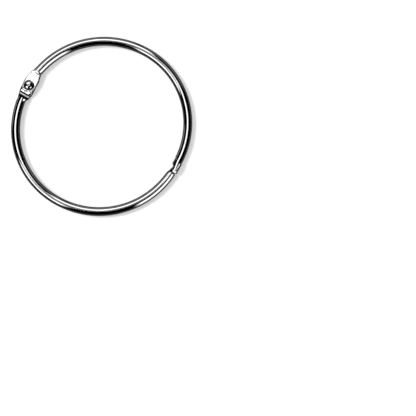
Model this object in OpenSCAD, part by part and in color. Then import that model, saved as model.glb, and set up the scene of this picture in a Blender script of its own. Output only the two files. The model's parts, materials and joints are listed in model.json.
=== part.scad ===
// Hinged binder ring: two half rings of rolled steel tube. At one end each tube is
// pressed flat and the two flats are lapped and riveted, which is the hinge. At the
// other end a tongue on one half closes over a hook on the other, which is the catch.
// X runs from the hinge to the catch, Z is the ring's own axis, and the ring lies on Z = 0.

/* [Ring] */
// Width inside the closed ring, from the hinge to the catch
inner_w = 74.7; // [60:0.1:90]
// How far the ring's crown leans from the middle, towards the catch
lean = 1.35; // [0.75:0.05:1.75]

/* [Tube] */
// Outside diameter of the rolled tube
tube_d = 4.2; // [4:0.05:4.6]
// Thickness of the steel strip
wall = 0.6; // [0.5:0.05:0.65]
// Width of the groove along the butted seam
seam_w = 0.16; // [0.1:0.02:0.3]
// Depth of that groove
seam_depth = 0.12; // [0.08:0.02:0.2]

/* [Hinge plates] */
// Widest part of a plate
plate_w = 6.8; // [6:0.1:7.4]
// Width of a plate at its free end
plate_end_w = 5.2; // [4.6:0.1:5.6]
// From the rivet to where the round tube starts
plate_reach = 7; // [6.6:0.1:8]
// From the rivet to the plate's free end
plate_tail = 4.5; // [4:0.1:5]
// From the rivet to the plate's widest part
plate_wide_at = 1.5; // [0.5:0.1:2.5]
// From the rivet to where a plate starts to narrow towards its tube
shoulder_at = 3; // [2.6:0.1:3.4]
// Radius of a plate's edges from there to the tube
shoulder_r = 16; // [12:0.5:24]
// How far the plate's middle lies inwards of the rivet
plate_offset = 0.5; // [0:0.1:0.8]
// Corner radius at the free end
plate_corner = 0.8; // [0.4:0.1:1.2]
// Slope of the ramp that is pressed between tube and plate, in degrees
ramp_slope = 60; // [45:1:70]

/* [Rivet] */
// Diameter of the rivet's shank
shank_d = 2.2; // [1.6:0.1:2.6]
// Diameter of the rivet's heads
head_d = 3.6; // [3.2:0.1:4]
// Height of the domed head above its seat
head_h = 0.7; // [0.5:0.05:0.8]
// Diameter of the dish that is pressed round the head
dish_d = 5; // [4.4:0.1:5.4]
// Depth of that dish
dish_depth = 0.3; // [0.2:0.05:0.4]
// Play of the turning plate, beside it and around the shank
hinge_play = 0.05; // [0.02:0.01:0.08]

/* [Catch] */
// From the middle of the catch to the tongue's tip
tongue_tip = 2.35; // [2:0.05:3]
// From the middle of the catch to the step where the tongue starts
tongue_root = 4.5; // [4:0.1:5.5]
// Height of the tongue above the tube's axis, towards the ring's inside, at its neck
tongue_neck = 0.5; // [0.3:0.05:0.7]
// The same at its lip
tongue_lip = 1; // [0.8:0.05:1.2]
// Length of the lip
lip_len = 2.95; // [2.4:0.05:3.2]
// Radius of the cut's round corner at the tongue's root
root_r = 1.3; // [0.8:0.1:1.5]
// Radius of the lip's corners
lip_r = 0.4; // [0.2:0.05:0.45]
// Diameter of the hook's round core
hook_d = 2.6; // [2.2:0.05:2.7]
// Thickness of the keel along the hook's inner side
keel_t = 1.6; // [1.2:0.1:1.8]
// Depth of the waist in the keel, below the tube's inner side
waist = 0.6; // [0.3:0.05:0.7]
// Length of the hook's head
head_len = 2.85; // [2.2:0.05:3.2]
// Gap that is left between tongue and hook
catch_gap = 0.1; // [0.06:0.01:0.2]

/* [Hidden] */
$fn = 96;

tube_r = tube_d / 2;
bore_r = tube_r - wall;
over = 1;                 // how far a cutting shape runs past what it cuts

// The closed ring's centre line crosses the X axis at the hinge and at the catch, half_w
// from the middle. Seen from hinge to catch, each half starts as a wide quarter arc and
// goes on as a tighter one with a short straight, or the other way round, so the whole
// is a leaning oval that looks the same when it's turned half round.
half_w = (inner_w + tube_d) / 2;
wide_r = half_w + lean;
tight_r = half_w - lean;

// Hinge: two plates of double strip, one above the other, inside the tube's height.
plate_t = 2 * wall;
plate_low = hinge_play / 2;
plate_top = plate_low + plate_t;
ramp_end = plate_reach - (tube_r - plate_low) / tan(ramp_slope);
plug_len = 1;             // solid stretch of tube behind the press's ramp

// The box of the whole ring is centred on the origin.
left_x = -half_w + plate_offset - plate_w / 2;
right_x = half_w + tube_r;
centre_x = (left_x + right_x) / 2;

// Sweeps a profile, drawn at the tube's middle with +X away from the ring's inside, along
// an arc of the centre line. It sets out at the angle from, which may be the larger one.
module along_arc(centre, radius, from, to) {
    translate([centre[0], centre[1], tube_r])
        rotate(from)
            mirror([0, to < from ? 1 : 0, 0])
                rotate_extrude(angle = abs(to - from))
                    translate([radius, 0])
                        children();
}

// The same along the half above the X axis, from y_catch at its catch end to y_hinge at
// its hinge end.
module along_above(y_catch, y_hinge) {
    translate([half_w, 2 * lean, tube_r])
        rotate([90, 0, 0])
            linear_extrude(2 * lean - y_catch)
                children();
    along_arc([lean, 2 * lean], tight_r, 90, 0) children();
    along_arc([lean, 0], wide_r, 90, 180 - asin(y_hinge / wide_r)) children();
}

// The same along the half below it, where both ends are given as distances below the axis.
module along_below(y_catch, y_hinge) {
    along_arc([-lean, -2 * lean], tight_r, 270, 180 + asin((y_hinge - 2 * lean) / tight_r))
        children();
    along_arc([-lean, 0], wide_r, 270, 360 - asin(y_catch / wide_r)) children();
}

// Groove of the butted seam, along the tube's inner side.
module seam_profile() {
    translate([-tube_r - over, -seam_w / 2]) square([over + seam_depth, seam_w]);
}

// Everything at the hinge is drawn from the rivet, at the tube's mid height, with its own
// tube towards +Y. side is 1 for the half above the X axis and -1 for the half below,
// whose plate is the same shape turned over.
module at_hinge(side) {
    translate([-half_w, 0, tube_r])
        rotate([side == 1 ? 0 : 180, 0, 0])
            children();
}

// A disc with a round rim, as thick as the plate.
module rim_disc(r) {
    rotate_extrude() {
        translate([0, -plate_t / 2]) square([r - plate_t / 2, plate_t]);
        translate([r - plate_t / 2, 0])
            intersection() {
                circle(plate_t / 2);
                translate([0, -plate_t]) square(2 * plate_t);
            }
    }
}

// A barrel: both long edges are arcs of radius r, and it is widest, w, at y = 0.
module barrel(r, w) {
    intersection() {
        translate([w / 2 - r, 0, 0]) rim_disc(r);
        translate([r - w / 2, 0, 0]) rim_disc(r);
    }
}

function along(angle) = [cos(angle), sin(angle)];

// Radius of a plate's long edge, which runs in from the widest part to the free end.
edge_run = plate_tail + plate_wide_at;
edge_drop = (plate_w - plate_end_w) / 2;
edge_r = (edge_run * edge_run + edge_drop * edge_drop) / (2 * edge_drop);

// Centre of the shoulder's arc, which runs from the plate's full width to the tube's.
shoulder_from = [plate_w / 2, shoulder_at];
shoulder_to = [tube_r, plate_reach];
shoulder_chord = shoulder_to - shoulder_from;
shoulder_out = [shoulder_chord[1], -shoulder_chord[0]] / norm(shoulder_chord);
shoulder_depth = sqrt(pow(shoulder_r, 2) - pow(norm(shoulder_chord) / 2, 2));
shoulder_c = (shoulder_from + shoulder_to) / 2 - shoulder_depth * shoulder_out;

// What is cut off outside the round corner at the plate's free end.
module corner_cut() {
    drop = edge_run - plate_corner;
    x = plate_w / 2 - edge_r + sqrt(pow(edge_r - plate_corner, 2) - drop * drop);
    y = -plate_tail + plate_corner;
    edge = -asin(drop / (edge_r - plate_corner));
    reach = 3 * plate_corner;
    linear_extrude(plate_t + 2 * over, center = true)
        difference() {
            polygon([
                [x, y],
                [x, y] + reach * along(edge),
                [x + reach, y - reach],
                [x, y - reach]
            ]);
            translate([x, y]) circle(plate_corner);
        }
}

module plate_blank() {
    difference() {
        intersection() {
            translate([0, plate_wide_at, 0]) barrel(edge_r, plate_w);
            translate([0, shoulder_c[1], 0]) barrel(shoulder_r, 2 * (shoulder_c[0] + shoulder_r));
            translate([-plate_w, -plate_tail, -plate_t])
                cube([2 * plate_w, plate_tail + plate_reach, 2 * plate_t]);
        }
        corner_cut();
        mirror([1, 0, 0]) corner_cut();
    }
}

// Cuts the round tube down to the plate, with a ramp above and a deeper one below.
module press_cut() {
    far = plate_tail + 2 * plate_w;
    for (s = [1, -1]) {
        face = s == 1 ? plate_top : -plate_low;
        run = (tube_r - face) / tan(ramp_slope);
        mirror([0, 0, s == 1 ? 0 : 1])
            rotate([90, 0, 90])
                linear_extrude(4 * plate_w, center = true)
                    polygon([
                        [plate_reach, tube_r + over],
                        [plate_reach, tube_r],
                        [plate_reach - run, face],
                        [-far, face],
                        [-far, tube_r + over]
                    ]);
    }
}

// Hole and pressed dish for the rivet. The dish is a cone that starts at the head's edge.
module rivet_seat(play) {
    seat_d = head_d + 2 * play;
    spread = (dish_d - seat_d) / dish_depth;
    depth = dish_depth + over;
    cylinder(d = shank_d + 2 * play, h = 4 * tube_d, center = true);
    translate([0, 0, plate_top - dish_depth])
        cylinder(d1 = seat_d, d2 = seat_d + spread * depth, h = depth);
}

// Presses a tube's hinge end flat, on the side of the X axis that side gives, and pierces
// it with some play for the rivet.
module pressed(side, play) {
    difference() {
        union() {
            difference() {
                children();
                at_hinge(side) press_cut();
            }
            at_hinge(side)
                translate([plate_offset, 0, plate_low + plate_t / 2])
                    plate_blank();
        }
        at_hinge(side) rivet_seat(play);
    }
}

// The cut that leaves the tongue: the tube's inner side is taken away from the step to the
// tip, and more of it over the neck than over the lip. Drawn from the catch's middle.
module tongue_cut() {
    low = -tongue_tip - over;
    inner = -tube_r - over;
    lip_top = lip_len - tongue_tip;
    linear_extrude(2 * tube_d)
        difference() {
            union() {
                translate([inner, low])
                    square([-tongue_neck - inner, tongue_root - root_r - low]);
                translate([inner, low])
                    square([-tongue_neck - root_r - inner, tongue_root - low]);
                translate([-tongue_neck - root_r, tongue_root - root_r]) circle(root_r);
            }
            translate([-tongue_lip + lip_r, -tongue_tip + lip_r])
                square([tongue_lip, lip_len - 2 * lip_r]);
            translate([-tongue_lip, -tongue_tip + 2 * lip_r])
                square([tongue_lip, lip_len - 3 * lip_r]);
            translate([-tongue_lip + 2 * lip_r, -tongue_tip - over])
                square([tongue_lip, lip_len + over]);
            translate([-tongue_lip + lip_r, lip_top - lip_r]) circle(lip_r);
            translate([-tongue_lip + 2 * lip_r, -tongue_tip + 2 * lip_r]) circle(2 * lip_r);
        }
}

// Outline of the keel: a slope from the butt, the waist, and the hook's head, which ends
// a little before the core does.
module keel_outline() {
    base = -tongue_tip - catch_gap - over;
    tip = tongue_root - 2 * catch_gap;
    inner = -tube_r + catch_gap / 2;
    head = tip - head_len;
    corner = head_len / 4;
    difference() {
        union() {
            polygon([
                [0, base], [inner, base], [inner, base + over],
                [inner + waist, head - waist], [inner + waist, head],
                [0, head]
            ]);
            translate([inner, head]) square([-inner, head_len - corner]);
            translate([inner + corner, head]) square([-inner - corner, head_len]);
            translate([inner + corner, tip - corner]) circle(corner);
        }
        translate([inner + waist / 2, head - waist / 2]) circle(waist / 2);
        translate([inner - over, head - waist / 2]) square([over + waist / 2, waist / 2]);
    }
}

// The hook: a round core that lies inside the tongue, with a keel along its inner side.
module hook() {
    base = -tongue_tip - catch_gap - over;
    tip = tongue_root - catch_gap;
    translate([half_w, 0, 0]) {
        translate([-catch_gap, base, tube_r])
            rotate([-90, 0, 0])
                cylinder(d = hook_d, h = tip - base);
        translate([0, 0, tube_r - keel_t / 2])
            linear_extrude(keel_t)
                keel_outline();
    }
}

module tongue_half() {
    bore_end = plate_reach + plug_len;
    color([0.82, 0.82, 0.83])
        translate([-centre_x, 0, 0])
            difference() {
                pressed(1, hinge_play)
                    difference() {
                        along_above(-tongue_tip, ramp_end) circle(tube_r);
                        along_above(-tongue_tip - over, bore_end) circle(bore_r);
                        along_above(-tongue_tip - over, bore_end) seam_profile();
                    }
                translate([half_w, 0, 0]) tongue_cut();
            }
}

module hook_half() {
    butt = tongue_tip + catch_gap;
    bore_end = plate_reach + plug_len;
    color([0.74, 0.75, 0.77])
        translate([-centre_x, 0, 0]) {
            pressed(-1, 0)
                difference() {
                    along_below(butt, ramp_end) circle(tube_r);
                    along_below(butt + plug_len, bore_end) circle(bore_r);
                    along_below(butt + over, bore_end) seam_profile();
                }
            hook();
        }
}

// One domed head of the rivet, on the plane z = 0.
module rivet_head(h) {
    dome_r = (pow(head_d / 2, 2) + h * h) / (2 * h);
    rotate_extrude()
        intersection() {
            translate([0, h - dome_r]) circle(dome_r);
            square([head_d / 2, h]);
        }
}

module hinge_rivet() {
    seat = plate_top - dish_depth;
    color([0.68, 0.68, 0.7])
        translate([-half_w - centre_x, 0, tube_r]) {
            translate([0, 0, -seat]) cylinder(d = shank_d, h = 2 * seat + hinge_play);
            translate([0, 0, seat + hinge_play]) rivet_head(head_h);
            mirror([0, 0, 1]) translate([0, 0, seat]) rivet_head(head_h);
        }
}

tongue_half();
hook_half();
hinge_rivet();
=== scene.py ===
import bmesh
import bpy
import json
from math import acos, asin, cos, hypot, pi, radians, sin, sqrt
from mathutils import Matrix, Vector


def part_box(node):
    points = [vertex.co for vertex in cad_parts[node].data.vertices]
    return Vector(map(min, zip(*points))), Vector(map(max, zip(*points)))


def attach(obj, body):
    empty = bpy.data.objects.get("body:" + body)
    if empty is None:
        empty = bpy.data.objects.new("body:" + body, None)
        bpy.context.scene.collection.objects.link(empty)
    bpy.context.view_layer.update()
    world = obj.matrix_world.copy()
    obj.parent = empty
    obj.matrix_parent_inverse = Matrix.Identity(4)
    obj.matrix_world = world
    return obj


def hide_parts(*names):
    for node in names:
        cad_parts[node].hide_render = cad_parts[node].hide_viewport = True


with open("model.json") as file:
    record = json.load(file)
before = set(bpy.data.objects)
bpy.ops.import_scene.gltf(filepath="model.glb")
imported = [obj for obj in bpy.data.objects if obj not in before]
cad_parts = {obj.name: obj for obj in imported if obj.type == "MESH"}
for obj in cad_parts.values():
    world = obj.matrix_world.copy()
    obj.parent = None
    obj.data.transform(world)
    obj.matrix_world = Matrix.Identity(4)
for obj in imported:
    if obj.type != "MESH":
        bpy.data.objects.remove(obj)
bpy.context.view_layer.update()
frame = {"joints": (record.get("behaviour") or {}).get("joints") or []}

# ---------------------------------------------------------------------------------------
# Tongue half: half of the ring, a steel strip rolled into a tube with its two edges
# butted along the inside. One end is pressed flat and dished for the rivet. The other is
# cut away on the inside to an S, which leaves the tongue of the catch.
# ---------------------------------------------------------------------------------------
mm = 0.001

# The ring's line, worked out from the frame: a leaning oval of wide and tight quarters.
tongue_low, tongue_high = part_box("tongue_half")
pivot = frame["joints"][0]["pos_m"]
tube_r = (tongue_high[2] - tongue_low[2]) / 2
tube_top = 2 * tube_r
half_w = (tongue_high[0] - tube_r - pivot[0]) / 2
middle_x = tongue_high[0] - tube_r - half_w
lean = tongue_high[1] - tube_r - half_w
wide_r = half_w + lean
tight_r = half_w - lean
wide_arc_up = (lean, 0, wide_r)
tight_arc_up = (lean, 2 * lean, tight_r)

# A half runs straight through its plate, a little inside the ring's line, and then bends
# into it. The hinge's and the catch's stretches are cut finer than the plain tube.
plate_tail = 4.75 * mm
plate_in = 0.5 * mm
bend_from = 5.2 * mm
bend_to = 9.5 * mm
hinge_stretch = 10 * mm
catch_stretch = 9 * mm
hinge_pitch = 0.12 * mm
catch_pitch = 0.09 * mm
tube_pitch = radians(1.5)


def clamp01(value):
    return min(max(value, 0.0), 1.0)


def ease(start, end, value):
    """0 before start, 1 after end, and a smooth S between them."""
    k = clamp01((value - start) / (end - start))
    return k * k * (3 - 2 * k)


def mix(a, b, k):
    return a + (b - a) * k


def steps(start, end, pitch):
    """Evenly spaced values from start to end, about a pitch apart, with both ends."""
    count = max(2, round(abs(end - start) / pitch))
    return [start + (end - start) * i / count for i in range(count + 1)]


def arc_point(arc, angle):
    cx, cy, r = arc
    return cx + r * cos(angle), cy + r * sin(angle), angle


def arc_y(arc, side, y):
    """x and outward angle of an arc at height y, on its hinge side (-1) or catch side (1)."""
    cx, cy, r = arc
    tilt = asin(max(y - cy, 0) / r)
    x = cx + side * r * cos(tilt)
    return x, (tilt if side > 0 else pi - tilt)


def half_line(first, second, catch_end):
    """Points (x, y, outward angle, zone) of a half's centre line from its plate's tail to
    its catch, drawn as if it lay above the X axis."""
    line = []
    for y in steps(-plate_tail, hinge_stretch, hinge_pitch):
        x, angle = arc_y(first, -1, y)
        k = ease(bend_from, bend_to, y)
        line.append((mix(plate_in - half_w, x, k), y, mix(pi, angle, k), "hinge"))
    start = arc_y(first, -1, hinge_stretch)[1]
    stop = arc_y(second, 1, catch_stretch)[1]
    for angle in steps(start, pi / 2, tube_pitch)[1:]:
        line.append((*arc_point(first, angle), "tube"))
    for angle in steps(pi / 2, stop, tube_pitch)[1:-1]:
        line.append((*arc_point(second, angle), "tube"))
    for y in steps(catch_stretch, catch_end, catch_pitch):
        x, angle = arc_y(second, 1, y)
        line.append((x, y, angle, "catch"))
    return line


# The pressed plate's outline, measured from the rivet towards its own tube: bowed long
# edges, sloping shoulders down to the tube's width and a tail with rounded corners.
plate_half = 3.4 * mm
plate_end_half = 2.6 * mm
plate_wide_at = 1.5 * mm
plate_reach = 7.3 * mm
shoulder_at = 3.0 * mm
shoulder_r = 16.0 * mm
shoulder_blend = 0.25 * mm
tube_blend = 0.2 * mm
plate_corner = 0.8 * mm

# The plate's two faces, two strips apart. The one that meets the other plate steps in
# beneath that plate's tail, and then ramps out to the round tube. The plate's own tail
# droops a hair and is bevelled.
strip_t = 0.6 * mm
plate_t = 2 * strip_t
plate_gap = 0.025 * mm
top_from = 5.6 * mm
top_to = 8.0 * mm
step_from = 3.9 * mm
step_run = 0.5 * mm
step_in = 0.3 * mm
ramp_from = 5.35 * mm
ramp_short = 0.2 * mm
droop_from = -2.5 * mm
droop_to = -3.6 * mm
droop = 0.04 * mm
tail_bevel = 0.85 * mm
tail_slope = 0.6

# How boxy the pressed section is (1 is round), and the bevel along its inner edge.
plate_boxy = 0.22
plate_boxy_at = 1 * mm
tail_boxy = 0.3
tail_boxy_at = -3 * mm
round_run = 1.5 * mm
plate_bevel = 0.75 * mm
step_bevel = 0.5 * mm
step_bevel_at = 5 * mm
bevel_steep = 1.3
no_bevel = 0.01 * mm


def soft_min(a, b, blend):
    """The smaller of two lengths, rounded over where they cross."""
    k = clamp01(0.5 + 0.5 * (b - a) / blend)
    return mix(b, a, k) - blend * k * (1 - k)


def rounded_off(distance, radius):
    """How far a surface falls back at this distance from a rounded edge."""
    if distance >= radius:
        return 0
    return radius - sqrt(radius ** 2 - (radius - max(distance, 0)) ** 2)


def plate_outline(y):
    """Half the plate's width at y, out to the tube's own."""
    run = plate_tail + plate_wide_at
    drop = plate_half - plate_end_half
    edge_r = (run * run + drop * drop) / (2 * drop)
    long_edge = plate_half - edge_r + sqrt(edge_r ** 2 - (y - plate_wide_at) ** 2)
    chord = (tube_r - plate_half, plate_reach - shoulder_at)
    chord_len = hypot(*chord)
    depth = sqrt(shoulder_r ** 2 - (chord_len / 2) ** 2)
    cx = (plate_half + tube_r) / 2 - depth * chord[1] / chord_len
    cy = (shoulder_at + plate_reach) / 2 + depth * chord[0] / chord_len
    shoulder = cx + sqrt(max(shoulder_r ** 2 - (y - cy) ** 2, 0))
    half = soft_min(long_edge, shoulder, shoulder_blend)
    half = -soft_min(-half, -tube_r, tube_blend)
    return half - rounded_off(y + plate_tail, plate_corner)


def plate_faces(y, round_at):
    """Top and bottom of the pressed end at y, for the half whose plate lies on top."""
    top = mix(tube_r + plate_gap + plate_t, tube_top, ease(top_from, top_to, y))
    top -= droop * ease(droop_from, droop_to, y)
    top -= max(tail_bevel - (y + plate_tail), 0) * tail_slope
    bottom = tube_r + plate_gap + step_in * clamp01((y - step_from) / step_run)
    ramp = clamp01((y - ramp_from) / (round_at - ramp_short - ramp_from))
    return top, mix(bottom, 0, ramp ** 2)


def plate_shape(y, round_at):
    """How boxy the pressed end is at y, and the bevel on its inner edge."""
    pressed = ease(round_at, round_at - round_run, y)
    flat_boxy = mix(tail_boxy, plate_boxy, ease(tail_boxy_at, plate_boxy_at, y))
    bevel = mix(plate_bevel, step_bevel, ease(0, step_bevel_at, y))
    return mix(1.0, flat_boxy, pressed), {
        "bevel_run": mix(no_bevel, bevel, pressed),
        "bevel_fall": mix(no_bevel, bevel_steep * bevel, pressed),
    }


# The tongue, measured from the middle of the catch; towards the ring's inside is minus.
# Its edge steps in at the root, runs along a neck and widens to a lip with a round tip.
tongue_root = 4.4 * mm
root_round = 1.4 * mm
neck_x = -0.45 * mm
lip_x = -0.95 * mm
lip_top = 0.6 * mm
lip_round = 0.4 * mm
lip_wrap = radians(128)
tongue_tip = -2.4 * mm

# It stands a little proud of the tube, tapers, and has a ledge pressed along its outer
# side. Its nose slopes to a bevelled tip.
proud_from = 3.3 * mm
proud_to = 2.4 * mm
tongue_out = 0.2 * mm
taper_from = 3.4 * mm
tongue_taper = 0.75 * mm
ledge_high = (2.45 * mm, 0.6 * mm)
ledge_from = (0.44, 0.11)
ledge_run = 0.85
nose_from = -1.4 * mm
nose_slope = 0.36
nose_boxy = 0.85
end_bevel = 0.15 * mm


def tongue_edge(y):
    """How far the tongue's edge lies from the tube's axis at y, towards the inside."""
    root_y = tongue_root - root_round
    tip_round = 2 * lip_round
    if y >= tongue_root:
        return -2 * tube_r
    if y > root_y:
        return neck_x - root_round + sqrt(root_round ** 2 - (y - root_y) ** 2)
    if y > lip_top:
        return neck_x
    if y > lip_top - lip_round:
        return lip_x + lip_round - sqrt(lip_round ** 2 - (y - lip_top + lip_round) ** 2)
    if y > tongue_tip + tip_round:
        return lip_x
    return lip_x + tip_round - sqrt(max(tip_round ** 2 - (y - tongue_tip - tip_round) ** 2, 0))


# A station is one cross-section along a piece. These are its sizes, with what they are
# where a station leaves them out.
section_sizes = {"half": 0, "high": 0, "boxy": 1, "edge": pi, "ledge": 0, "ledge_from": 0,
                 "bevel_run": no_bevel, "bevel_fall": no_bevel}
thinnest = 0.02 * mm
sharp_over = radians(40)


def station(x, y, angle, half, top, bottom, boxy, edge, turned_over=False, **extra):
    """One cross-section of a half or the hook, turned over where the plate lies below."""
    flip = -1 if turned_over else 1
    if turned_over:
        top, bottom = tube_top - bottom, tube_top - top
    return {
        "centre": (x + middle_x, flip * y, (top + bottom) / 2),
        "out": (cos(angle), flip * sin(angle), 0),
        "rise": (0, 0, 1),
        "half": half,
        "high": (top - bottom) / 2,
        "boxy": boxy,
        "edge": edge,
        **extra,
    }


def fill(tree, sockets, values):
    """Sets sockets in turn, each to another node's output or to a plain value."""
    for socket, value in zip(sockets, values):
        if hasattr(value, "is_output"):
            tree.links.new(value, socket)
        else:
            socket.default_value = value


def node_in(tree, kind, *values, **settings):
    """A new node of a tree, with its settings made and its inputs set in turn."""
    made = tree.nodes.new(kind)
    for key, value in settings.items():
        setattr(made, key, value)
    fill(tree, made.inputs, values)
    return made


def maths_for(tree):
    """A short way to add Math nodes to a tree: each call gives the new node's output."""
    def maths(operation, *values):
        return node_in(tree, "ShaderNodeMath", *values, operation=operation).outputs[0]

    return maths


def vector_maths(tree, operation, *values):
    return node_in(tree, "ShaderNodeVectorMath", *values, operation=operation).outputs[0]


def stored(tree, name, kind="FLOAT"):
    """A size or a direction that the stations carry."""
    made = node_in(tree, "GeometryNodeInputNamedAttribute", data_type=kind)
    made.inputs["Name"].default_value = name
    return made.outputs["Attribute"]


def strip_profile(tree, given, maths):
    """The strip's own cross-section: a closed loop, out along one skin and back along the
    other. turn runs from one edge to the other, and skin is 0 outside and 1 inside."""
    loop = node_in(tree, "GeometryNodeMeshCircle")
    tree.links.new(given["Points around"], loop.inputs["Vertices"])
    index = node_in(tree, "GeometryNodeInputIndex").outputs[0]
    per_skin = maths("DIVIDE", given["Points around"], maths("ADD", given["Hollow"], 1.0))
    second_skin = maths("GREATER_THAN", index, maths("SUBTRACT", per_skin, 0.5))
    inside = maths("MULTIPLY", given["Hollow"], second_skin)
    along = maths("SUBTRACT", index, maths("MULTIPLY", inside, per_skin))
    last = maths("SUBTRACT", per_skin, given["Hollow"])
    turn = maths("SUBTRACT", maths("MULTIPLY", maths("DIVIDE", along, last), 2.0), 1.0)
    back = maths("SUBTRACT", 1.0, maths("MULTIPLY", inside, 2.0))
    shaped = loop.outputs["Mesh"]
    for name, value in (("turn", maths("MULTIPLY", turn, back)), ("skin", inside)):
        store = node_in(tree, "GeometryNodeStoreNamedAttribute", shaped,
                        data_type="FLOAT", domain="POINT")
        store.inputs["Name"].default_value = name
        tree.links.new(value, store.inputs["Value"])
        shaped = store.outputs["Geometry"]
    return node_in(tree, "GeometryNodeMeshToCurve", shaped).outputs[0]


def bent_ways(tree, maths):
    """The way from the section's middle to each point of the bent strip: across and up. The
    half turn away from the seam stays put, and the rest reaches round to the edge."""
    part = maths("ABSOLUTE", stored(tree, "turn"))
    near_half = maths("MULTIPLY", maths("MINIMUM", part, 0.5), pi)
    reach_on = maths("MULTIPLY", maths("SUBTRACT", stored(tree, "edge"), pi / 2), 2.0)
    far_half = maths("MULTIPLY", maths("MAXIMUM", maths("SUBTRACT", part, 0.5), 0.0), reach_on)
    side = maths("SIGN", stored(tree, "turn"))
    angle = maths("MULTIPLY", maths("ADD", near_half, far_half), side)
    return maths("COSINE", angle), maths("SINE", angle)


def way_length(tree, maths, across, up):
    """What a way is divided by to end on the section. Boxy 1 gives a round section, and less
    squares it. A bevel cuts its corners on the ring's inside."""
    power = maths("DIVIDE", 2.0, stored(tree, "boxy"))
    powers = [maths("POWER", maths("ABSOLUTE", way), power) for way in (across, up)]
    round_length = maths("POWER", maths("ADD", *powers), maths("DIVIDE", 1.0, power))
    wide = maths("DIVIDE", stored(tree, "half"), stored(tree, "bevel_run"))
    deep = maths("DIVIDE", stored(tree, "high"), stored(tree, "bevel_fall"))
    inward = maths("MAXIMUM", maths("MULTIPLY", across, -1.0), 0.0)
    wide_part = maths("MULTIPLY", wide, inward)
    deep_part = maths("MULTIPLY", deep, maths("ABSOLUTE", up))
    cut_span = maths("SUBTRACT", maths("ADD", wide, deep), 1.0)
    cut_length = maths("DIVIDE", maths("ADD", wide_part, deep_part), cut_span)
    return maths("MAXIMUM", round_length, cut_length)


def strip_place(tree, given, maths, across, up):
    """Where each point goes. The inside skin lies one strip thickness in from the outside
    skin, and a ledge squares the side away from the seam."""
    inset = maths("MULTIPLY", stored(tree, "skin"), given["Strip thickness"])
    length = way_length(tree, maths, across, up)

    def reach(size, way):
        metal = maths("MAXIMUM", maths("SUBTRACT", stored(tree, size), inset), thinnest)
        return maths("MULTIPLY", metal, maths("DIVIDE", way, length))

    def moved(direction, distance):
        made = node_in(tree, "ShaderNodeVectorMath", stored(tree, direction, "FLOAT_VECTOR"),
                       operation="SCALE")
        tree.links.new(distance, made.inputs["Scale"])
        return made.outputs[0]

    ledge_start = stored(tree, "ledge_from")
    ledge_end = maths("ADD", ledge_start, ledge_run)
    far_side = node_in(tree, "ShaderNodeMapRange", across, ledge_start, ledge_end, 0.0, 1.0,
                       interpolation_type="SMOOTHSTEP").outputs[0]
    squared = maths("MULTIPLY", stored(tree, "ledge"), maths("MULTIPLY", far_side, up))
    lifted = maths("ADD", reach("high", up), squared)
    lowest = maths("MULTIPLY", stored(tree, "high"), -1.0)
    kept_in = maths("MINIMUM", maths("MAXIMUM", lifted, lowest), stored(tree, "high"))
    off_line = vector_maths(tree, "ADD", moved("out", reach("half", across)), moved("rise", kept_in))
    return vector_maths(tree, "ADD", stored(tree, "centre", "FLOAT_VECTOR"), off_line)


def dish_sink(tree, given, maths, place, up):
    """How far the dish round the rivet sinks each point: in the top face where the height of
    Dish centre is plus, and in the bottom face where it is minus."""
    from_centre = vector_maths(tree, "SUBTRACT", place, given["Dish centre"])
    level = vector_maths(tree, "MULTIPLY", from_centre, (1, 1, 0))
    apart = node_in(tree, "ShaderNodeVectorMath", level, operation="LENGTH").outputs["Value"]
    fade = node_in(tree, "ShaderNodeMapRange", apart, given["Dish inner radius"],
                   given["Dish outer radius"], 1.0, 0.0).outputs[0]
    split = node_in(tree, "ShaderNodeSeparateXYZ", given["Dish centre"])
    side = maths("SIGN", split.outputs["Z"])
    same_side = maths("GREATER_THAN", maths("MULTIPLY", up, side), 0.0)
    outer_skin = maths("SUBTRACT", 1.0, stored(tree, "skin"))
    pressed = maths("MULTIPLY", same_side, outer_skin)
    sink = maths("MULTIPLY", maths("MULTIPLY", fade, given["Dish depth"]), pressed)
    return maths("MULTIPLY", sink, maths("MULTIPLY", side, -1.0))


def strip_tree():
    """Geometry Nodes that sweep a strip's cross-section along stations. Each station is a
    point that carries its section's size, and the strip is bent round to its edge angle."""
    tree = bpy.data.node_groups.new("swept_strip", "GeometryNodeTree")
    face = tree.interface
    for name, kind in (("Stations", "NodeSocketGeometry"), ("Points around", "NodeSocketInt"),
                       ("Strip thickness", "NodeSocketFloat"), ("Hollow", "NodeSocketFloat"),
                       ("Dish centre", "NodeSocketVector"), ("Dish inner radius", "NodeSocketFloat"),
                       ("Dish outer radius", "NodeSocketFloat"), ("Dish depth", "NodeSocketFloat"),
                       ("Material", "NodeSocketMaterial")):
        face.new_socket(name, in_out="INPUT", socket_type=kind)
    face.new_socket("Mesh", in_out="OUTPUT", socket_type="NodeSocketGeometry")
    links = tree.links
    given = tree.nodes.new("NodeGroupInput").outputs
    maths = maths_for(tree)

    path = node_in(tree, "GeometryNodeMeshToCurve", given["Stations"]).outputs[0]
    sweep = node_in(tree, "GeometryNodeCurveToMesh")
    links.new(path, sweep.inputs["Curve"])
    links.new(strip_profile(tree, given, maths), sweep.inputs["Profile Curve"])
    sweep.inputs["Fill Caps"].default_value = True

    across, up = bent_ways(tree, maths)
    place = strip_place(tree, given, maths, across, up)
    drop = node_in(tree, "ShaderNodeCombineXYZ")
    links.new(dish_sink(tree, given, maths, place, up), drop.inputs["Z"])
    moved = node_in(tree, "GeometryNodeSetPosition", sweep.outputs[0])
    links.new(vector_maths(tree, "ADD", place, drop.outputs[0]), moved.inputs["Position"])

    real = node_in(tree, "GeometryNodeRealizeInstances", moved.outputs[0])
    finish = node_in(tree, "GeometryNodeSetMaterial", real.outputs[0])
    links.new(given["Material"], finish.inputs["Material"])
    links.new(finish.outputs[0], tree.nodes.new("NodeGroupOutput").inputs[0])
    return tree


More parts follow.
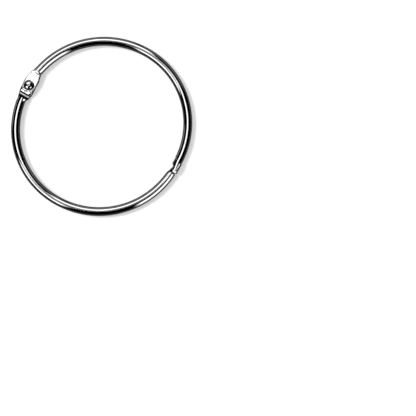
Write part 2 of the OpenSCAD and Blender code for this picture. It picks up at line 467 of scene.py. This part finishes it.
def swept(name, stations, tree, **inputs):
    """A plain mesh object swept through the stations by the tree."""
    guide = bpy.data.meshes.new(name)
    count = len(stations)
    guide.from_pydata([s["centre"] for s in stations], [(i, i + 1) for i in range(count - 1)], [])
    for key in ("centre", "out", "rise"):
        column = guide.attributes.new(key, "FLOAT_VECTOR", "POINT")
        column.data.foreach_set("vector", [c for s in stations for c in s[key]])
    for key, usual in section_sizes.items():
        column = guide.attributes.new(key, "FLOAT", "POINT")
        column.data.foreach_set("value", [s.get(key, usual) for s in stations])
    obj = bpy.data.objects.new(name, guide)
    bpy.context.scene.collection.objects.link(obj)
    modifier = obj.modifiers.new("sweep", "NODES")
    modifier.node_group = tree
    sockets = {s.name: s.identifier for s in tree.interface.items_tree if s.in_out == "INPUT"}
    for key, value in inputs.items():
        modifier[sockets[key.replace("_", " ")]] = value
    mesh = bpy.data.meshes.new_from_object(obj.evaluated_get(bpy.context.evaluated_depsgraph_get()))
    obj.modifiers.clear()
    obj.data = mesh
    for key in ("centre", "out", "rise", "turn", "skin", *section_sizes):
        if key in mesh.attributes:
            mesh.attributes.remove(mesh.attributes[key])
    clean = bmesh.new()
    clean.from_mesh(mesh)
    bmesh.ops.recalc_face_normals(clean, faces=clean.faces)
    clean.to_mesh(mesh)
    clean.free()
    mesh.shade_smooth()
    mesh.set_sharp_from_angle(angle=sharp_over)
    return obj


# Nickel plate: a cloudy tone and a fine grain. A noise's scale is its cells per metre.
plate_ior = 2.0
cloud_scale = 260
cloud_detail = 3
cloud_span = (0.3, 0.7)
cloud_shades = ((0.93, 0.93, 0.94), (1, 1, 1.01))
grain_scale = 2400
grain_detail = 2
grain_depth = 0.0006 * mm
grain_polish = (0.7, 1.3)

# Bands of painted shade, which darken the plate's colour in the gaps, each from and to along
# a half, measured from the rivet's middle, and how dark: on a plate's tail, and on the other
# half's step and ramp beyond it.
painted_shade_colour = (0.02, 0.02, 0.022, 1)
painted_shade_bends = ((3.9 * mm, 4.8 * mm, 0.9), (4.8 * mm, 5.5 * mm, 0.7), (5.4 * mm, 6.55 * mm, 0.9))
bend_soft = 0.05 * mm

# One more band of painted shade lies at the catch's butt.
painted_shade_butt = (-2.95 * mm, -2.4 * mm, 0.85)

# The dish pressed round the rivet, a little off its middle, and the band of painted shade in it.
dish_off = 0.25 * mm
dish_in_r = 1.6 * mm
dish_out_r = 2.46 * mm
dish_depth = 0.58 * mm
painted_shade_dish = (dish_in_r, 2.45 * mm, 0.9)
dish_soft = 0.1 * mm

# Small dents on a plate's tail, from and to as the bands are.
dented = (2.0 * mm, 3.5 * mm)
dent_soft = 0.3 * mm
dent_depth = 0.11 * mm
dent_scale = 800
dent_detail = 1
dent_seed = 3.0


def between(maths, value, low, high, soft):
    """1 where value lies between low and high, with soft edges."""
    rise = maths("DIVIDE", maths("SUBTRACT", value, low - soft), 2 * soft)
    fall = maths("DIVIDE", maths("SUBTRACT", high + soft, value), 2 * soft)
    return maths("MAXIMUM", maths("MINIMUM", maths("MINIMUM", rise, fall), 1.0), 0.0)


def tail_side(maths, axis, at_hinge):
    """1 at the hinge on the side where a plate's tail lies over the other half: the hook
    half's side from above, and the tongue half's side from below."""
    above = maths("SUBTRACT", axis["Z"], tube_r)
    own_face = maths("LESS_THAN", maths("MULTIPLY", maths("SIGN", axis["Y"]), above), plate_t / 2)
    return maths("MULTIPLY", own_face, at_hinge)


def painted_shade_share(maths, axis, past, at_hinge, tail):
    """How much painted shade darkens the plate: at the butt, on the bends and in the dish."""
    low, high, share = painted_shade_butt
    butt_share = maths("MULTIPLY", maths("SUBTRACT", 1.0, at_hinge), share)
    painted_shade = maths("MULTIPLY", between(maths, axis["Y"], low, high, bend_soft), butt_share)
    for low, high, share in painted_shade_bends:
        band = maths("MULTIPLY", between(maths, past, low, high, bend_soft), share)
        painted_shade = maths("MAXIMUM", painted_shade, maths("MULTIPLY", band, tail))
    # Painted shade darkens the dish on its two sides that face the plate's long edges.
    aside = maths("ABSOLUTE", maths("SUBTRACT", axis["X"], pivot[0] + dish_off))
    squares = [maths("MULTIPLY", length, length) for length in (aside, past)]
    from_middle = maths("POWER", maths("ADD", *squares), 0.5)
    low, high, share = painted_shade_dish
    sideways = maths("MULTIPLY", maths("DIVIDE", aside, from_middle), share)
    ring = maths("MULTIPLY", between(maths, from_middle, low, high, dish_soft), sideways)
    return maths("MAXIMUM", painted_shade, ring)


def noise_on(tree, place, scale, detail):
    made = node_in(tree, "ShaderNodeTexNoise", place)
    made.inputs["Scale"].default_value = scale
    made.inputs["Detail"].default_value = detail
    return made


def colour_mix(tree, factor, first, second):
    """A mix of two colours: a Mix node takes them at inputs 6 and 7 and gives output 2."""
    made = node_in(tree, "ShaderNodeMix", data_type="RGBA")
    fill(tree, (made.inputs["Factor"], made.inputs[6], made.inputs[7]), (factor, first, second))
    return made.outputs[2]


def plated_steel(name, tone, polish):
    """Bright nickel plate on steel, at a tone and a roughness, darkened by painted shade in bands at
    the bends, the butt and the dish.
    """
    material = bpy.data.materials.new(name)
    material.use_nodes = True
    tree = material.node_tree
    nodes, links = tree.nodes, tree.links
    maths = maths_for(tree)
    shader = nodes["Principled BSDF"]
    shader.inputs["Metallic"].default_value = 1.0
    shader.inputs["IOR"].default_value = plate_ior
    place = nodes.new("ShaderNodeTexCoord").outputs["Object"]
    axis = node_in(tree, "ShaderNodeSeparateXYZ", place).outputs
    past = maths("ABSOLUTE", axis["Y"])
    at_hinge = maths("LESS_THAN", axis["X"], 0.0)
    tail = tail_side(maths, axis, at_hinge)

    clouds = noise_on(tree, place, cloud_scale, cloud_detail)
    colour = nodes.new("ShaderNodeValToRGB")
    for stop, position, shade in zip(colour.color_ramp.elements, cloud_span, cloud_shades):
        stop.position = position
        stop.color = (tone * shade[0], tone * shade[1], tone * shade[2], 1)
    links.new(clouds.outputs["Fac"], colour.inputs["Fac"])
    # Painted shade: the plate's colour is mixed towards near black where the bands and the dish ring
    # say.
    painted_shade = painted_shade_share(maths, axis, past, at_hinge, tail)
    links.new(colour_mix(tree, painted_shade, colour.outputs["Color"], painted_shade_colour), shader.inputs["Base Color"])

    grain = noise_on(tree, place, grain_scale, grain_detail).outputs["Fac"]
    rough = nodes.new("ShaderNodeMapRange")
    rough.inputs["To Min"].default_value = polish * grain_polish[0]
    rough.inputs["To Max"].default_value = polish * grain_polish[1]
    links.new(grain, rough.inputs["Value"])
    links.new(rough.outputs["Result"], shader.inputs["Roughness"])

    dents = noise_on(tree, place, dent_scale, dent_detail)
    dents.noise_dimensions = "4D"
    dents.inputs["W"].default_value = dent_seed
    dent_mask = maths("MULTIPLY", between(maths, past, *dented, dent_soft), tail)
    dent = maths("MULTIPLY", maths("SUBTRACT", dents.outputs["Fac"], 0.5), dent_mask)
    height = maths("ADD", maths("MULTIPLY", dent, dent_depth), maths("MULTIPLY", grain, grain_depth))
    bump = nodes.new("ShaderNodeBump")
    bump.inputs["Distance"].default_value = 1.0
    links.new(height, bump.inputs["Height"])
    links.new(bump.outputs["Normal"], shader.inputs["Normal"])
    return material


strip_sweep = strip_tree()
tube_plate = plated_steel("bright_nickel_plate", tone=0.6, polish=0.06)
tongue_round_at = 8.1 * mm
seam_gap = 0.07 * mm
closed_edge = pi - seam_gap / tube_r

tongue_stations = []
for x, y, angle, zone in half_line(wide_arc_up, tight_arc_up, tongue_tip):
    half, top, bottom, boxy, edge, shift, extra = tube_r, tube_top, 0, 1.0, closed_edge, 0, {}
    if zone == "hinge":
        half = plate_outline(y)
        top, bottom = plate_faces(y, tongue_round_at)
        boxy, extra = plate_shape(y, tongue_round_at)
    if zone == "catch":
        # The taper is all on the inside, so the outer side stays in line.
        proud = ease(proud_from, proud_to, y)
        along = clamp01((taper_from - y) / (taper_from - tongue_tip))
        shift = along * tongue_taper
        bevel = max(end_bevel - (y - tongue_tip), 0)
        half = tube_r + proud * tongue_out - shift - bevel
        boxy = mix(1.0, nose_boxy, ease(0, nose_from, y))
        extra = {"ledge": proud * mix(*ledge_high, along), "ledge_from": mix(*ledge_from, along)}
        nose = bevel + max(nose_from - y, 0) * nose_slope
        top -= nose
        bottom += nose
        # At the lip the strip wraps less far round, which keeps it clear of the hook's neck.
        trough = mix(closed_edge, lip_wrap, ease(root_round + lip_top, lip_top, y))
        edge = min(trough, acos(max((tongue_edge(y) - shift) / half, -1)))
    tongue_stations.append(station(x + shift, y, angle, half, top, bottom, boxy, edge, **extra))

# Both plates are dished alike, each on its own outer face.
tube_points = 224
tube_shape = {
    "Points_around": tube_points,
    "Strip_thickness": strip_t,
    "Hollow": 1.0,
    "Dish_inner_radius": dish_in_r,
    "Dish_outer_radius": dish_out_r,
    "Dish_depth": dish_depth,
    "Material": tube_plate,
}
dish_above = (pivot[0] + dish_off, pivot[1], 1.0)
tongue_half = swept("tongue_half_tube", tongue_stations, strip_sweep, Dish_centre=dish_above,
                    **tube_shape)
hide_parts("tongue_half")
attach(tongue_half, "tongue_side")

# ---------------------------------------------------------------------------------------
# Hook half: the other half of the ring, rolled and pressed from steel strip as the first
# is. Its plate lies underneath, and its tube is squeezed a little narrower at the butt,
# where the hook comes out of it.
# ---------------------------------------------------------------------------------------
wide_arc_down = (-lean, 0, wide_r)
tight_arc_down = (-lean, 2 * lean, tight_r)
hook_round_at = 6.8 * mm
butt = 2.8 * mm
squeeze_from = 5.0 * mm
squeeze_in = 0.15 * mm
squeeze_out = 0.08 * mm

hook_half_stations = []
for x, y, angle, zone in half_line(tight_arc_down, wide_arc_down, butt):
    half, top, bottom, boxy, shift, extra = tube_r, tube_top, 0, 1.0, 0, {}
    if zone == "hinge":
        half = plate_outline(y)
        top, bottom = plate_faces(y, hook_round_at)
        boxy, extra = plate_shape(y, hook_round_at)
    if zone == "catch":
        squeeze = ease(squeeze_from, butt, y)
        bevel = max(end_bevel - (y - butt), 0)
        half -= squeeze_in * squeeze + bevel
        shift = squeeze_out * squeeze
        top -= bevel
        bottom += bevel
    hook_half_stations.append(station(x + shift, y, angle, half, top, bottom, boxy, closed_edge,
                                      turned_over=True, **extra))

dish_below = (pivot[0] + dish_off, pivot[1], -1.0)
hook_half = swept("hook_half_tube", hook_half_stations, strip_sweep, Dish_centre=dish_below,
                  **tube_shape)
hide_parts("hook_half")
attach(hook_half, "hook_side")

# ---------------------------------------------------------------------------------------
# Hook: the end of the hook half's own steel strip, folded and squeezed to a solid form
# that stands out of the tube. It has a waist, which the tongue's lip drops behind, and a
# round head, which lies in the tongue.
# ---------------------------------------------------------------------------------------
hook_lean = radians(18)
hook_boxy = 0.85
hook_pitch = 0.08 * mm
hook_tip = 4.36 * mm

# Each row: place along the ring (plus is towards the tip), then the hook's inner edge,
# outer edge and half height there.
hook_forms = [
    (-4.2 * mm, -1.30 * mm, 1.10 * mm, 1.00 * mm),
    (-3.2 * mm, -1.55 * mm, 1.75 * mm, 1.20 * mm),
    (-2.65 * mm, -1.74 * mm, 1.75 * mm, 1.20 * mm),
    (-2.45 * mm, -1.72 * mm, 1.15 * mm, 0.70 * mm),
    (-1.4 * mm, -1.40 * mm, 1.20 * mm, 0.92 * mm),
    (-0.3 * mm, -1.02 * mm, 1.20 * mm, 1.00 * mm),
    (0.5 * mm, -1.12 * mm, 1.20 * mm, 1.10 * mm),
    (1.1 * mm, -1.80 * mm, 1.25 * mm, 1.30 * mm),
    (1.6 * mm, -1.95 * mm, 1.30 * mm, 1.35 * mm),
    (4.0 * mm, -1.98 * mm, 1.30 * mm, 1.35 * mm),
    (4.2 * mm, -1.80 * mm, 1.10 * mm, 1.15 * mm),
    (hook_tip, -1.40 * mm, 0.60 * mm, 0.70 * mm),
]


def between_forms(forms, y):
    """The sizes at y, half eased and half straight from one row of forms to the next."""
    for low, high in zip(forms, forms[1:]):
        if y <= high[0]:
            k = ease(low[0], high[0], y) * 0.5 + clamp01((y - low[0]) / (high[0] - low[0])) * 0.5
            return [mix(a, b, k) for a, b in zip(low[1:], high[1:])]
    return list(forms[-1][1:])


hook_stations = []
for y in steps(hook_forms[0][0], hook_tip, hook_pitch):
    inner, outer, high = between_forms(hook_forms, y)
    form = station(half_w + (inner + outer) / 2, y, 0, (outer - inner) / 2,
                   tube_r + high, tube_r - high, hook_boxy, pi)
    form["out"] = (cos(hook_lean), 0, sin(hook_lean))
    form["rise"] = (-sin(hook_lean), 0, cos(hook_lean))
    hook_stations.append(form)

solid_points = 64
hook = swept("hook", hook_stations, strip_sweep, Points_around=solid_points, Hollow=0.0,
             Material=tube_plate)
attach(hook, "hook_side")

# ---------------------------------------------------------------------------------------
# Hinge rivet: one steel pin through both plates, upset to a low dome on each side. It is
# tight in the hook half's plate and turns in the other.
# ---------------------------------------------------------------------------------------
rivet_low, rivet_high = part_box("hinge_rivet")
head_r = (rivet_high[0] - rivet_low[0]) / 2
head_h = 0.7 * mm
shank_r = 1.1 * mm
shank_in = 0.02 * mm
dome_r = 3.6 * mm
dome_from = 0.02
dome_pitch = radians(1.5)
rim_r = 0.2 * mm
rim_in = 0.06 * mm
rim_pitch = radians(8)
dome_slope = asin((head_r - rim_r) / (dome_r - rim_r))


def rivet_station(height, radius):
    return {
        "centre": (pivot[0], pivot[1], height),
        "out": (1, 0, 0),
        "rise": (0, 1, 0),
        "half": radius,
        "high": radius,
    }


# The dome's outline from its crown to its foot, each point a radius and a height.
dome = []
for slope in steps(dome_from, dome_slope, dome_pitch):
    dome.append((dome_r * sin(slope), head_h - dome_r * (1 - cos(slope))))
rim_at = head_h - dome_r * (1 - cos(dome_slope)) - rim_r * cos(dome_slope)
for slope in steps(dome_slope, pi / 2, rim_pitch)[1:]:
    dome.append((head_r - rim_r + rim_r * sin(slope), rim_at + rim_r * cos(slope)))
dome.append((head_r - rim_in, 0))

rivet_stations = [rivet_station(rivet_low[2] + head_h - h, r) for r, h in dome]
rivet_stations.append(rivet_station(rivet_low[2] + head_h + shank_in, shank_r))
rivet_stations.append(rivet_station(rivet_high[2] - head_h - shank_in, shank_r))
rivet_stations += [rivet_station(rivet_high[2] - head_h + h, r) for r, h in reversed(dome)]

rivet_plate = plated_steel("rivet_nickel_plate", tone=0.52, polish=0.08)
rivet = swept("rivet", rivet_stations, strip_sweep, Points_around=solid_points, Hollow=0.0,
              Material=rivet_plate)
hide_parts("hinge_rivet")
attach(rivet, "hook_side")

# ---------------------------------------------------------------------------------------
# Table: a wide sheet of white paper that the ring lies on. The camera sees it white, and
# the bright plate mirrors it dark.
# ---------------------------------------------------------------------------------------
table_size = 3.0
paper_tone = (0.42, 0.42, 0.42, 1)
mirrored_tone = (0.06, 0.06, 0.06, 1)
paper_lift = 0.47

bpy.ops.mesh.primitive_plane_add(size=table_size)
table = bpy.context.object
table.name = "table"

paper = bpy.data.materials.new("white_paper")
paper.use_nodes = True
paper_tree = paper.node_tree
paper_tree.nodes.clear()
seen = paper_tree.nodes.new("ShaderNodeLightPath").outputs
matt = paper_tree.nodes.new("ShaderNodeBsdfDiffuse")
shade = colour_mix(paper_tree, seen["Is Glossy Ray"], paper_tone, mirrored_tone)
paper_tree.links.new(shade, matt.inputs["Color"])
lift = paper_tree.nodes.new("ShaderNodeEmission")
lift_strength = maths_for(paper_tree)("MULTIPLY", seen["Is Camera Ray"], paper_lift)
paper_tree.links.new(lift_strength, lift.inputs["Strength"])
both = node_in(paper_tree, "ShaderNodeAddShader", matt.outputs[0], lift.outputs[0])
node_in(paper_tree, "ShaderNodeOutputMaterial", both.outputs[0])
table.data.materials.append(paper)

# ---------------------------------------------------------------------------------------
# Lights: a tent of bright panels with dark gaps between them, which the plate mirrors,
# and one soft lamp over the hinge's side, which throws the shadow.
# ---------------------------------------------------------------------------------------
panel_soft = radians(3.5)

# Each panel: compass angle of its middle and half its width, its nearest and farthest
# angle from overhead, all in degrees, and its brightness.
light_panels = [
    (152, 22, 23, 55, 2.1),
    (112, 19, 21, 55, 2.1),
    (-112, 21, 26, 54, 2.3),
    (-20, 17, 36, 84, 2.1),
    (-168, 22, 4, 16, 3.4),
    (46, 42, 2, 11, 2.9),
    (81, 13, 8, 21, 1.7),
    (-107, 17, 17, 37, 0.4),
    (154, 50, 81, 92, 0.8),
    (78, 20, 74, 90, 0.3),
]

world = bpy.data.worlds.new("studio")
bpy.context.scene.world = world
world.use_nodes = True
tent = world.node_tree
tent_maths = maths_for(tent)


def tent_ramp(value, start, end):
    """0 at start and 1 at end, eased; start may be the larger."""
    ends = (end, start, 1.0, 0.0) if start > end else (start, end, 0.0, 1.0)
    made = node_in(tent, "ShaderNodeMapRange", value, *ends, interpolation_type="SMOOTHSTEP")
    return made.outputs["Result"]


def light_panel(compass, from_top, middle, half_width, near, far):
    """1 on a panel and 0 off it, with soft edges; its far edge is twice as soft."""
    off = tent_maths("WRAP", tent_maths("SUBTRACT", compass, radians(middle)), pi, -pi)
    side = radians(half_width)
    panel = tent_ramp(tent_maths("ABSOLUTE", off), side + panel_soft, side - panel_soft)
    near_edge = tent_ramp(from_top, radians(near) - panel_soft, radians(near) + panel_soft)
    far_edge = tent_ramp(from_top, radians(far) + 2 * panel_soft, radians(far) - 2 * panel_soft)
    return tent_maths("MULTIPLY", tent_maths("MULTIPLY", panel, near_edge), far_edge)


ray = tent.nodes.new("ShaderNodeTexCoord").outputs["Generated"]
ray_axis = node_in(tent, "ShaderNodeSeparateXYZ", ray).outputs
ray_compass = tent_maths("ARCTAN2", ray_axis["Y"], ray_axis["X"])
ray_from_top = tent_maths("ARCCOSINE", ray_axis["Z"])
brightness = 0.0
for middle, half_width, near, far, strength in light_panels:
    panel = light_panel(ray_compass, ray_from_top, middle, half_width, near, far)
    brightness = tent_maths("ADD", brightness, tent_maths("MULTIPLY", panel, strength))
tent.nodes["Background"].inputs["Color"].default_value = (1, 1, 1, 1)
tent.links.new(brightness, tent.nodes["Background"].inputs["Strength"])

lamp_strength = 3.6
lamp_spread = radians(16)
lamp_tilt = radians(38)
lamp_compass = radians(-172.6)
lamp_data = bpy.data.lights.new("window_lamp", "SUN")
lamp_data.energy = lamp_strength
lamp_data.angle = lamp_spread
lamp = bpy.data.objects.new("window_lamp", lamp_data)
bpy.context.scene.collection.objects.link(lamp)
lamp.rotation_euler = (0, lamp_tilt, lamp_compass)
lamp.visible_glossy = False

# ---------------------------------------------------------------------------------------
# Camera: it hangs level over the table and looks straight down. The ring lies to one
# side of its view and is turned in it.
# ---------------------------------------------------------------------------------------
view_width = 196.1 * mm
view_middle = (62.94 * mm, -8.90 * mm)
view_turn = radians(29.4)
camera_height = 0.8
camera_data = bpy.data.cameras.new("camera")
camera_data.lens = camera_data.sensor_width * camera_height / view_width
camera = bpy.data.objects.new("camera", camera_data)
bpy.context.scene.collection.objects.link(camera)
camera.location = (*view_middle, camera_height + tube_r)
camera.rotation_euler = (0, 0, view_turn)
bpy.context.scene.camera = camera
bpy.context.scene.view_settings.view_transform = "Standard"
